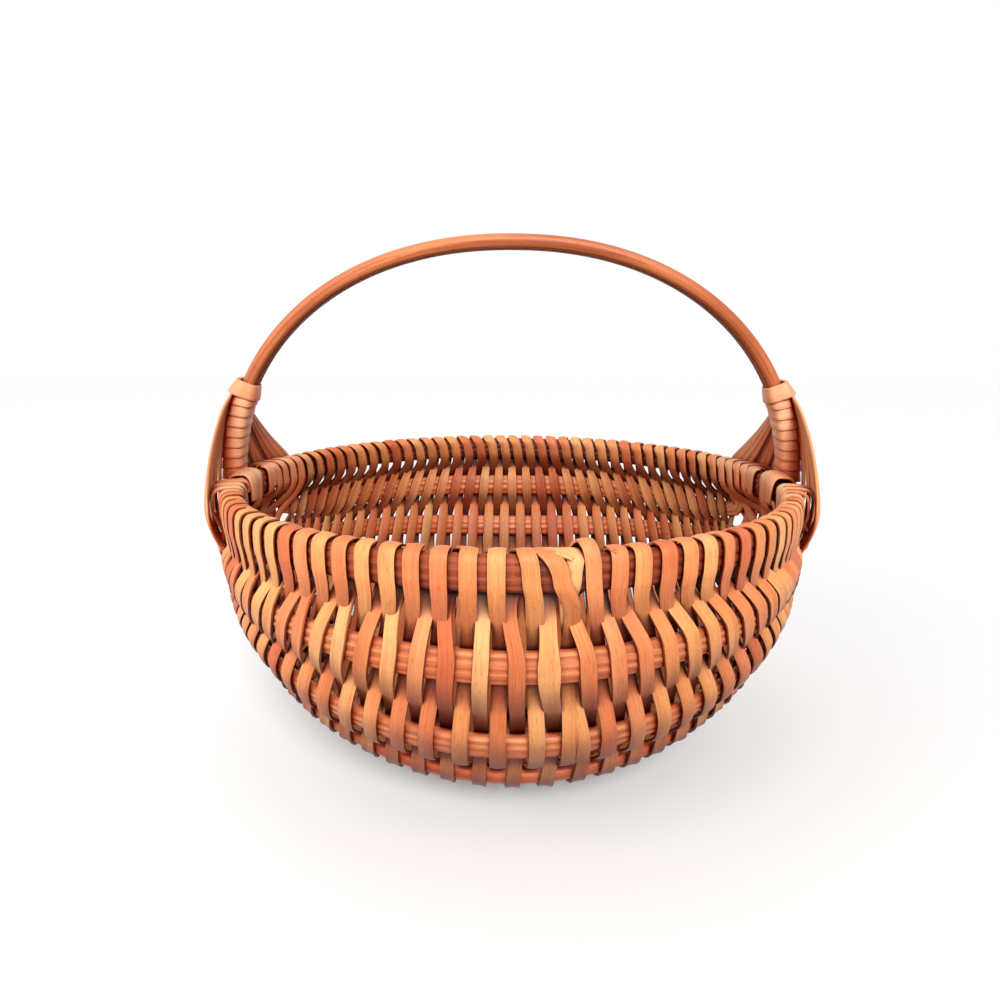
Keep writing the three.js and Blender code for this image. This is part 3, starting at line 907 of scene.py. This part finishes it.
# Lays one strip that runs to and fro between the rims, over the legs from first to last
def weaveStrip(first, last, lane):
    spots = stripAlong(rimWrap(first - 1, first, -1 if first % 2 == 0 else 1, start=wraps["firstFrom"]))
    for leg in range(first, last + 1):
        course = legPlaces(leg)
        if leg % 2:
            course = course[::-1]
            for spot in course:
                spot["along"] = -spot["along"]
                spot["out"] = -spot["out"]
        spots += course
        side = 1 if leg % 2 == 0 else -1
        if leg < last:
            spots += stripAlong(rimWrap(leg, leg + 1, side))
        else:
            spots += stripAlong(rimWrap(last, last + 1, side, end=wraps["lastTo"]))
    for spot in spots:
        spot["out"] = turnAway(spot["out"], spot["along"])
    places = setAlong(measureRun(bendThrough(spots)))
    for place in places:
        x, y, _ = place["point"]
        tilt = unevenness(weave["tiltRates"], lane, y, x) * weave["tilt"]
        side = place["out"].cross(place["along"])
        place["out"] = (place["out"] + side * tilt).normalized()
    return layStrip(places, weave["thickness"], weave["columns"], lane=lane, crown=weave["crown"])


# Each splint runs over a few legs, and every third one is darker
def makeSplint(order):
    first = order * weave["legs"]
    strip = weaveStrip(first, first + weave["legs"] - 1, order * 3 + 1)
    dark = order % 3 == 1
    finishPiece(strip, f"weaver_{order + 1:02d}", f"splint_{order + 1:02d}",
                weaverReedDark if dark else weaverReed)


# The last rows at each ear are short and packed close
def makeEarRows(end):
    first = -earWeave["rows"] if end < 0 else legCount
    strip = weaveStrip(first, first + earWeave["rows"] - 1, earWeave["lane"] + end)
    word, order = ("left", 1) if end < 0 else ("right", weave["splints"])
    finishPiece(strip, f"ear_rows_{word}", f"splint_{order:02d}", windingReed)


# A new strip starts beside one leg: it leans behind that leg, then lies next to it over the second rib
splice = {
    "leg": 38,
    "start": 70,
    "aside": 3.2,
    "slant": -1.4,
    "inset": 0.2,
    "besideAtRibs": (0.6, 4.9, 1.5),
    "behindAtRibs": (0.9, 0.1, 0.9),
    "widthOnRim": 5.0,
    "width": 4.4,
    "narrow": 3.8,
    "lane": 47,
}


def makeSplice():
    leg = splice["leg"]
    spots = stripAlong(rimWrap(leg - 1, leg, -1, start=splice["start"], aside=splice["aside"],
                               slant=splice["slant"], inset=splice["inset"]))
    course = legPlaces(leg)[:2 * len(splice["besideAtRibs"])]
    for i, spot in enumerate(course):
        side = spot["out"].cross(spot["along"])
        side *= math.copysign(1, side.x)
        beside, behind = splice["besideAtRibs"][i // 2], splice["behindAtRibs"][i // 2]
        spot["point"] = spot["point"] + side * beside - spot["out"] * behind
        spot["width"] = splice["width"]
        spot["narrow"] = splice["narrow"]
    for spot in spots:
        spot["width"] = splice["widthOnRim"]
    spots += course
    for spot in spots:
        spot["out"] = turnAway(spot["out"], spot["along"])
    places = setAlong(measureRun(bendThrough(spots)))
    strip = layStrip(places, weave["thickness"], weave["columns"], lane=splice["lane"], crown=weave["crown"])
    finishPiece(strip, "weaver_splice", "splint_10", weaverReed)


# Loose fibres: x along the front rim, height above its middle, way to the side, up and forward, length
fibres = [
    (25.8, 6.6, (0.5, 0.8, 0.2), 3.4),
    (26.6, 7.0, (0.9, 0.3, 0.5), 3.0),
    (28.2, 6.4, (0.3, 0.9, 0.4), 2.4),
    (4.2, 6.8, (-0.8, 0.5, 0.4), 2.6),
    (19.6, 6.8, (0.8, 0.5, 0.3), 2.2),
    (-33.0, 6.7, (0.7, 0.6, 0.5), 2.6),
    (50.5, 6.6, (-0.6, 0.7, 0.5), 2.4),
]

fibre = {
    "stand": 1.5,
    "curl": (0.3, -0.2, -0.5),
    "width": 0.42,
    "tipWidth": 0.16,
    "thickness": 0.2,
    "crown": 0.03,
    "edge": 0.04,
    "columns": 2,
    "steps": 8,
}


def makeFibre(order, x, rise, way, length):
    point, out = rimPlace(math.asin(x / rim["halfLength"]), -1)
    start = point + upwards * rise + out * fibre["stand"]
    leaving = Vector((way[0], -way[2], way[1])).normalized()
    aside, forward, up = fibre["curl"]
    places = []
    for i in range(fibre["steps"] + 1):
        t = i / fibre["steps"]
        curl = Vector((aside * math.sin(order), forward, up)) * t * t
        places.append({"point": start + (leaving * t + curl) * length, "out": out.copy(),
                       "width": mix(fibre["width"], fibre["tipWidth"], t)})
    setAlong(measureRun(places))
    strip = layStrip(places, fibre["thickness"], fibre["columns"], lane=order,
                     crown=fibre["crown"], edge=fibre["edge"])
    finishPiece(strip, f"fibre_{order}", "splint_10", weaverReed)


for order in range(weave["splints"]):
    makeSplint(order)
makeEarRows(-1)
makeEarRows(1)
makeSplice()
for order, sizes in enumerate(fibres):
    makeFibre(order, *sizes)
showStage("splints woven")


def endWord(end):
    return "left" if end < 0 else "right"


# A point and its normal on a rounded path round a post or the rim
def roundPath(width, thickness, angle):
    roundness = ears["windingRoundness"]
    c, s = math.cos(angle), math.sin(angle)
    x = math.copysign(abs(c) ** roundness, c) * width / 2
    y = math.copysign(abs(s) ** roundness, s) * thickness / 2
    return x, y, Vector((c, s, 0))


# Turns the face of a band to look up a little, so that its lower edge stands out
def lapDown(places, amount):
    for place in places:
        across = place["out"].cross(place["along"])
        place["out"] = (place["out"] + across * math.copysign(amount, across.z)).normalized()


# The winding of the post; each turn's lower edge laps over the turn below
postWrap = {
    "turns": 8,
    "width": 5.2,
    "thickness": 0.8,
    "slack": 1.9,
    "below": 3.6,
    "above": 2.4,
    "uneven": 0.25,
    "unevenRates": (0.09, 3, 2),
    "lap": 0.14,
    "stepsPerTurn": 28,
    "columns": 4,
    "lane": 70,
}


def makePostWrap(end):
    width = postWrap["width"]
    slack = postWrap["slack"]
    low = rim["height"] / 2 + width / 2 - postWrap["below"]
    high = ears["collarRise"] - width / 2 + postWrap["above"]
    places = []
    count = postWrap["turns"] * postWrap["stepsPerTurn"]
    for i in range(count + 1):
        point, out = postPlace(end, mix(low, high, i / count))
        angle = 2 * math.pi * i / postWrap["stepsPerTurn"]
        x, y, normal = roundPath(cane["width"] + slack, cane["thickness"] + slack, angle)
        jitter = postWrap["uneven"] * unevenness(postWrap["unevenRates"], i, end)
        places.append({"point": point + backwards * x + out * (y + jitter),
                       "out": (backwards * normal.x + out * normal.y).normalized(), "width": width})
    setAlong(measureRun(places))
    lapDown(places, postWrap["lap"])
    strip = layStrip(places, postWrap["thickness"], postWrap["columns"], lane=postWrap["lane"] + end)
    word = endWord(end)
    finishPiece(strip, f"post_winding_{word}", f"post_wrap_{word}", windingReed)


# The collar is two turns of a wide band round the handle and the rib tips, narrower behind them
collar = {
    "lower": 1.5,
    "width": 14.6,
    "slack": 1.3,
    "narrower": 0.85,
    "narrowFrom": 2,
    "narrowTo": -2.5,
    "turns": 2,
    "layer": 0.25,
    "climb": 0.5,
    "thickness": 0.7,
    "lap": 0.27,
    "steps": 72,
    "columns": 5,
    "lane": 80,
}


def makeCollar(end):
    rise = ears["collarRise"] + ears["collarHeight"] / 2 - collar["lower"]
    inner = cane["thickness"] / 2 + ears["clearance"]
    outer = inner + ribs["tipThickness"] + ears["clearance"]
    point, out = postPlace(end, rise)
    up = (postPlace(end, rise + 1)[0] - postPlace(end, rise - 1)[0]).normalized()
    centre = point + out * (outer - inner) / 2
    places = []
    for i in range(collar["steps"] + 1):
        share = i / collar["steps"]
        angle = 2 * math.pi * collar["turns"] * share
        x, y, normal = roundPath(collar["width"], inner + outer + collar["slack"], angle)
        x *= mix(collar["narrower"], 1, smooth(y, collar["narrowTo"], collar["narrowFrom"]))
        layer = collar["layer"] * share
        places.append({"point": centre + backwards * (x + layer * normal.x) + out * (y + layer * normal.y)
                       + up * collar["climb"] * (share - 0.5),
                       "out": (backwards * normal.x + out * normal.y).normalized(),
                       "width": ears["collarHeight"]})
    setAlong(measureRun(places))
    lapDown(places, collar["lap"])
    strip = layStrip(places, collar["thickness"], collar["columns"], lane=collar["lane"] + end)
    word = endWord(end)
    finishPiece(strip, f"collar_band_{word}", f"collar_{word}", windingReed)


# Windings of the rim beside the post: one wide smooth band in front, narrow turns at the back
lashings = {
    -1: {"nearest": -4, "furthest": 17, "width": 12.5, "turns": 1.6, "bulge": 1.6},
    1: {"nearest": 12, "furthest": 22, "width": 4.4, "turns": 1.3, "bulge": 0},
}

lashing = {
    "slack": 1.9,
    "startAngle": math.radians(200),
    "thickness": 0.9,
    "crown": 0.1,
    "crownOfBulge": 0.6,
    "stepsPerTurn": 30,
    "columns": 6,
    "lane": 90,
}


def makeLashing(end, side):
    band = lashings[side]
    width = band["width"]
    padding = lashing["slack"] + band["bulge"]
    places = []
    count = round(band["turns"] * lashing["stepsPerTurn"])
    for i in range(count + 1):
        y = mix(band["furthest"] - width / 2, band["nearest"] + width / 2, i / count)
        point, out = rimPlace(end * math.acos(y / rim["halfDepth"]), side)
        angle = lashing["startAngle"] - 2 * math.pi * i / lashing["stepsPerTurn"]
        x, rise, normal = roundPath(rim["thickness"] + padding, rim["height"] + padding, angle)
        places.append({"point": point + out * x + upwards * rise,
                       "out": (out * normal.x + upwards * normal.y).normalized(), "width": width})
    setAlong(measureRun(places))
    piece = layStrip(places, lashing["thickness"], lashing["columns"],
                     lane=lashing["lane"] + end * 2 + side,
                     crown=lashing["crown"] + band["bulge"] * lashing["crownOfBulge"])
    word = endWord(end) + ("_front" if side < 0 else "_back")
    finishPiece(piece, f"ear_winding_{word}", f"lashing_{word}", windingReed)


# A small nail holds the post to the bare part of the rim
nail = {
    "besidePost": 8.5,
    "radius": 0.9,
    "length": 0.9,
    "sunk": 0.1,
    "edge": 0.25,
    "sides": 24,
}


def makeNail(end):
    point, out = rimPlace(end * math.acos(nail["besidePost"] / rim["halfDepth"]), 1)
    place = (point - out * (rim["thickness"] / 2 + nail["sunk"])) * mm
    bpy.ops.mesh.primitive_cylinder_add(vertices=nail["sides"], radius=nail["radius"] * mm,
                                        depth=nail["length"] * mm)
    head = bpy.context.object
    turn = out.to_track_quat("Z", "Y").to_matrix()
    for vertex in head.data.vertices:
        vertex.co = turn @ vertex.co + place
    soft = head.modifiers.new("soft", "BEVEL")
    soft.width = nail["edge"] * mm
    soft.segments = 3
    applyAll(head)
    faceOutwards(head)
    finishPiece(head, "ear_nail_" + endWord(end), "rim_hoop", nailMetal)


for end in (-1, 1):
    makeNail(end)
    makePostWrap(end)
    makeCollar(end)
    makeLashing(end, -1)
    makeLashing(end, 1)
showStage("ears wound")


# One where the camera, a shine or a clear surface looks, zero for the light that bounces
def directRays(nodes, links):
    path = nodes.new("ShaderNodeLightPath")
    seen = nodes.new("ShaderNodeMath")
    seen.operation = "MAXIMUM"
    links.new(path.outputs["Is Camera Ray"], seen.inputs[0])
    links.new(path.outputs["Is Glossy Ray"], seen.inputs[1])
    direct = nodes.new("ShaderNodeMath")
    direct.operation = "MAXIMUM"
    links.new(seen.outputs["Value"], direct.inputs[0])
    links.new(path.outputs["Is Transmission Ray"], direct.inputs[1])
    return direct.outputs["Value"]


studio = {
    "floorSize": 6,
    "floorRoughness": 0.8,
    "floorSeen": (0.96, 0.96, 0.96, 1),
    "floorBounce": (0.4, 0.36, 0.34, 1),
    "worldSeen": 1,
    "worldLight": 0.5,
}


# A pale floor that throws back less light on the basket than it shows
def makeFloor():
    bpy.ops.object.select_all(action="DESELECT")
    bpy.ops.mesh.primitive_plane_add(size=studio["floorSize"], location=(0, 0, 0))
    floor = bpy.context.object
    floor.name = "floor"
    paint = bpy.data.materials.new("floor_paint")
    paint.use_nodes = True
    nodes, links = paint.node_tree.nodes, paint.node_tree.links
    shader = nodes["Principled BSDF"]
    shader.inputs["Roughness"].default_value = studio["floorRoughness"]
    shade = nodes.new("ShaderNodeMix")
    shade.data_type = "RGBA"
    shade.inputs["A"].default_value = studio["floorBounce"]
    shade.inputs["B"].default_value = studio["floorSeen"]
    links.new(directRays(nodes, links), shade.inputs["Factor"])
    links.new(shade.outputs["Result"], shader.inputs["Base Color"])
    floor.data.materials.append(paint)


# White where the camera or a shine looks at it, and a softer light everywhere else
def setWorld():
    world = bpy.data.worlds.new("studio")
    bpy.context.scene.world = world
    world.use_nodes = True
    nodes, links = world.node_tree.nodes, world.node_tree.links
    soft = nodes["Background"]
    soft.inputs["Color"].default_value = (1, 1, 1, 1)
    soft.inputs["Strength"].default_value = studio["worldLight"]
    white = nodes.new("ShaderNodeBackground")
    white.inputs["Color"].default_value = (1, 1, 1, 1)
    white.inputs["Strength"].default_value = studio["worldSeen"]
    choose = nodes.new("ShaderNodeMixShader")
    links.new(directRays(nodes, links), choose.inputs["Fac"])
    links.new(soft.outputs["Background"], choose.inputs[1])
    links.new(white.outputs["Background"], choose.inputs[2])
    links.new(choose.outputs["Shader"], nodes["World Output"].inputs["Surface"])


def addLamp(name, place, aim, size, power):
    bpy.ops.object.light_add(type="AREA", location=place)
    lamp = bpy.context.object
    lamp.name = name
    lamp.data.size = size
    lamp.data.energy = power
    lamp.rotation_euler = (Vector(aim) - Vector(place)).to_track_quat("-Z", "Y").to_euler()


def addSun(name, place, spread, strength):
    bpy.ops.object.light_add(type="SUN", location=place)
    lamp = bpy.context.object
    lamp.name = name
    lamp.data.angle = math.radians(spread)
    lamp.data.energy = strength
    lamp.rotation_euler = (-Vector(place)).to_track_quat("-Z", "Y").to_euler()


makeFloor()
setWorld()
addSun("key", place=(0.15, -1.0, 0.68), spread=24, strength=2.9)
addLamp("fill", place=(-0.8, -0.7, 0.5), aim=(0, 0, 0.08), size=0.8, power=5)
bpy.context.scene.view_settings.view_transform = "Standard"
showStage("lit")
